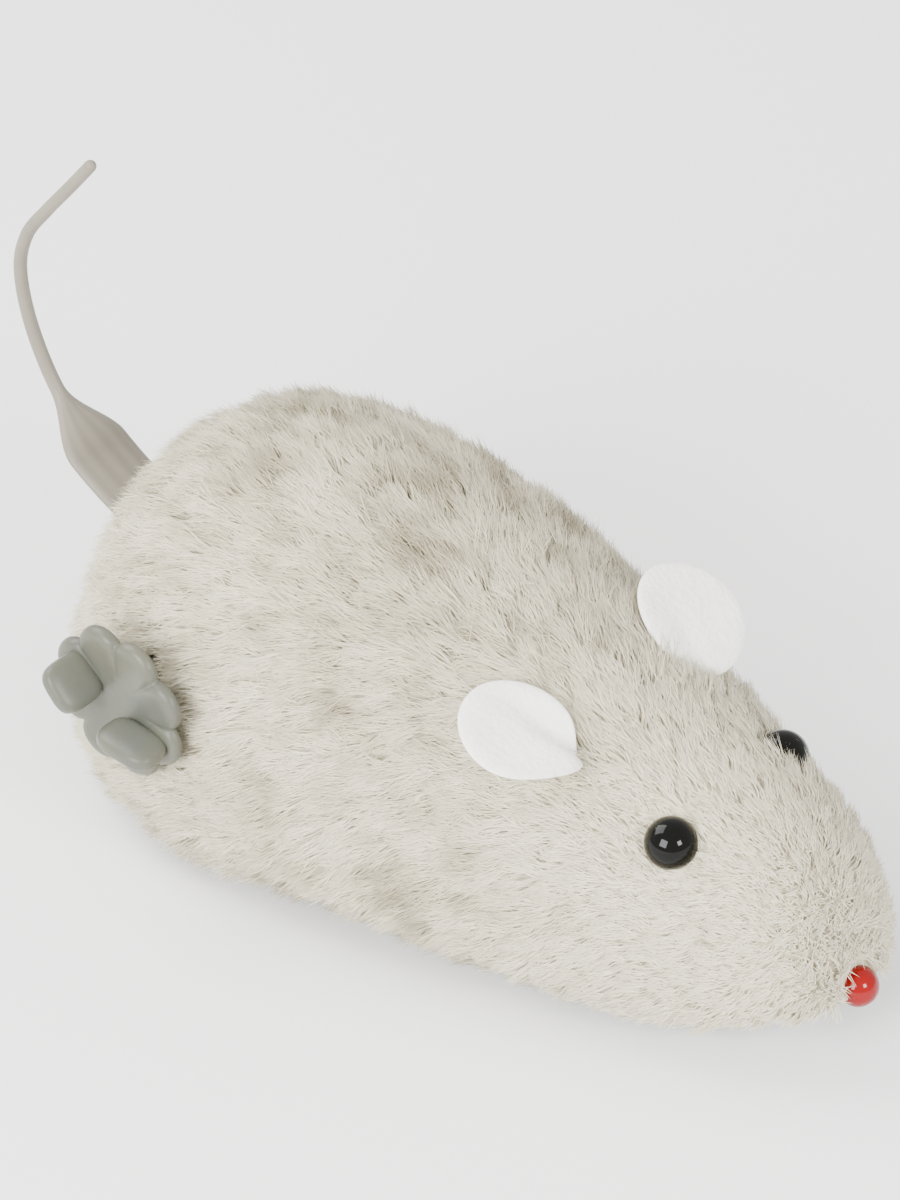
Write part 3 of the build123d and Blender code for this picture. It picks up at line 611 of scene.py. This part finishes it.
def tail_rings():
    """An oval carried along the route. Its half width falls from 2.85 mm to 0.55 mm between 8.5 and
    14 mm from the inner end, by s*s*(3 - 2s), and its half thickness from 0.8 to 0.55 mm. Twelve
    fine ribs, 0.032 cos(12 theta) mm, run along the wide foot and fade with it. The whip loses
    another 14% over the next 20 mm, and its end is rounded."""
    route, far = smooth_route(TAIL_ROUTE, 260)
    ahead = unit(np.gradient(route, axis=0))
    above = np.stack([-ahead[:, 1], ahead[:, 0]], 1)
    s = np.clip((14 - far) / 5.5, 0, 1)
    spread = (s * s * (3 - 2 * s))[:, None]
    end = np.sqrt(np.clip(1 - np.clip((far - far[-1] + 0.6) / 0.6, 0, 0.999) ** 2, 0, 1))[:, None]
    taper = (1 - 0.14 * np.clip((far - 14) / 20, 0, 1))[:, None]
    theta = np.linspace(0, 2 * np.pi, 96, endpoint=False)
    half = (0.55 * taper + 2.3 * spread) * end
    thick = (0.55 * taper + 0.25 * spread) * end
    thick = thick + 0.032 * spread * np.cos(12 * theta)
    y = half * np.cos(theta)
    lift = thick * np.sin(theta)
    x = route[:, :1] + above[:, :1] * lift
    z = route[:, 1:] + above[:, 1:] * lift
    return np.stack([x, y, z], -1)


tail_pvc = new_material("tail_pvc", (0.205, 0.184, 0.144), specular=0.35)
noise_colour(tail_pvc, (0.22, 0.197, 0.152), (0.18, 0.161, 0.128), 200)
surface_detail(tail_pvc, 700, 0.12, 0.45, 0.06, 0.00006)
points, faces = closed_rings(tail_rings())
tail = make_piece("tail_whip", points, [f[:, ::-1] for f in faces], tail_pvc)
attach(tail, "root")
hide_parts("tail")

# ------------------------------------------------------------------ ears
# Two leaves of thick white felt, glued into slits in the fur. The right one is pinched at its foot,
# so that a crease runs up it, and the left one is nearly flat.
def ear_rings(side, fold):
    """A felt leaf 9.1 mm long and 8.7 mm wide when flat: an oval that the fold draws in, most at the
    foot. Its faces meet in a round edge, w = 0.4 (1 - r^8)^0.5. A groove runs from the foot along a
    line v = 0, up to 1.6 mm off the middle, and fades out: w += 1.7 fold t (1 - exp(-v^2)), with
    t = exp(-(u / 4.2)^2). The leaf is cupped by 0.02 (v + 1.4)^2 and bends back by 0.012 u^2."""
    a = np.linspace(0.015, np.pi - 0.015, 90)[:, None]
    theta = np.linspace(0, 2 * np.pi, 128, endpoint=False)
    r = np.sin(a)
    u = 3.9 - side * 0.35 + 4.55 * r * np.cos(theta)
    w = 0.4 * np.sign(np.cos(a)) * np.sqrt(np.clip(1 - r**8, 0, None)) + 0 * theta
    foot_end = np.exp(-((np.clip(u + 0.6, 0, None) / 3.4) ** 2))
    off = 4.35 * r * np.sin(theta) - 1.15 - 0.45 * fold
    off = off * (1 - fold * np.where(off > 0, 0.15 + 0.45 * foot_end, 0.3 * foot_end))
    pinch = np.exp(-((np.clip(u, 0, None) / 4.2) ** 2))
    w = w + fold * pinch * 1.7 * (1 - np.exp(-(off**2)))
    w = w + 0.02 * (off + 1.4) ** 2 - 0.012 * u**2
    along = unit(np.array([-0.75, side * 0.33, 0.60]))
    face = np.array([0.62, side * 0.02, 0.78])
    face = unit(face - along * (face @ along))
    inward = np.cross(face, along) * side
    foot = np.array([13.2, side * 6.5, 17.0])
    return foot + u[..., None] * along + off[..., None] * inward + w[..., None] * face


felt = new_material("ear_felt", (0.96, 0.94, 0.885), specular=0.1)
noise_colour(felt, (0.97, 0.955, 0.90), (0.89, 0.875, 0.82), 700)
surface_detail(felt, 2200, 0.7, 0.95, 0.03, 0.0002)
for name, side, fold in (("left_ear", 1, 0.15), ("right_ear", -1, 1.0)):
    points, faces = closed_rings(ear_rings(side, fold))
    if side > 0:
        faces = [f[:, ::-1] for f in faces]
    ear = make_piece(name + "_felt", points, faces, felt)
    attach(ear, "root")
    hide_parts(name)

# ------------------------------------------------------------------ shell and base plate
# Two injection-moulded pieces of grey plastic, screwed together, which the fur is pulled over. The
# flat base closes the shell from below and has slots for the wheels.
shell_plastic = new_material("shell_plastic", (0.55, 0.55, 0.53), specular=0.4)
noise_colour(shell_plastic, (0.57, 0.57, 0.55), (0.51, 0.51, 0.49), 120)
surface_detail(shell_plastic, 1200, 0.08, 0.5, 0.06, 0.00005)
dress(shell_plastic, "body_shell")

base_plastic = new_material("base_plastic", (0.46, 0.46, 0.45), specular=0.4)
noise_colour(base_plastic, (0.48, 0.48, 0.47), (0.42, 0.42, 0.41), 140)
surface_detail(base_plastic, 1000, 0.10, 0.45, 0.08, 0.00005)
dress(base_plastic, "base_plate")

# ------------------------------------------------------------------ motor case and gear wheels
# Two moulded halves of black plastic, screwed together and then to the base plate. White moulded
# gear wheels turn between them.
case_plastic = new_material("case_plastic", (0.035, 0.035, 0.038), specular=0.4)
surface_detail(case_plastic, 1100, 0.10, 0.5, 0.06, 0.00005)
dress(case_plastic, "motor_case_left", "motor_case_right")

gear_plastic = new_material("gear_plastic", (0.80, 0.79, 0.73), specular=0.4)
surface_detail(gear_plastic, 1100, 0.06, 0.4, 0.05, 0.00004)
dress(gear_plastic, "ratchet_wheel", "great_wheel", "second_wheel", "third_wheel", "axle_pinion")

# ------------------------------------------------------------------ wheels and tyres
# Moulded wheels of glossy black plastic. The rear pair is pushed onto its axle and has rubber tyres,
# and the front one turns on its axle.
wheel_plastic = new_material("wheel_plastic", (0.03, 0.03, 0.03), specular=0.5)
noise_colour(wheel_plastic, (0.034, 0.034, 0.034), (0.022, 0.022, 0.022), 300)
surface_detail(wheel_plastic, 800, 0.06, 0.3, 0.06, 0.00004)
dress(wheel_plastic, "left_drive_wheel", "right_drive_wheel", "front_wheel")

rubber = new_material("tyre_rubber", (0.045, 0.045, 0.045), specular=0.25)
noise_colour(rubber, (0.055, 0.055, 0.053), (0.035, 0.035, 0.035), 500)
surface_detail(rubber, 1500, 0.25, 0.8, 0.06, 0.00006)
dress(rubber, "left_tyre", "right_tyre")

# ------------------------------------------------------------------ steel pieces
# Shafts, axles, screws and washers of bright zinc-plated steel, and the mainspring and the ratchet's
# click of blued spring strip.
zinc = new_material("zinc_steel", (0.62, 0.62, 0.64), metallic=1.0)
surface_detail(zinc, 1400, 0.08, 0.3, 0.08, 0.00003)
dress(
    zinc, "shank_washers", "body_screws", "motor_mount_screws", "case_screws", "winding_shaft",
    "second_shaft", "third_shaft", "drive_axle", "front_axle",
)

blued = new_material("blued_steel", (0.20, 0.22, 0.28), metallic=1.0)
surface_detail(blued, 1400, 0.06, 0.28, 0.08, 0.00003)
dress(blued, "mainspring", "click_spring")
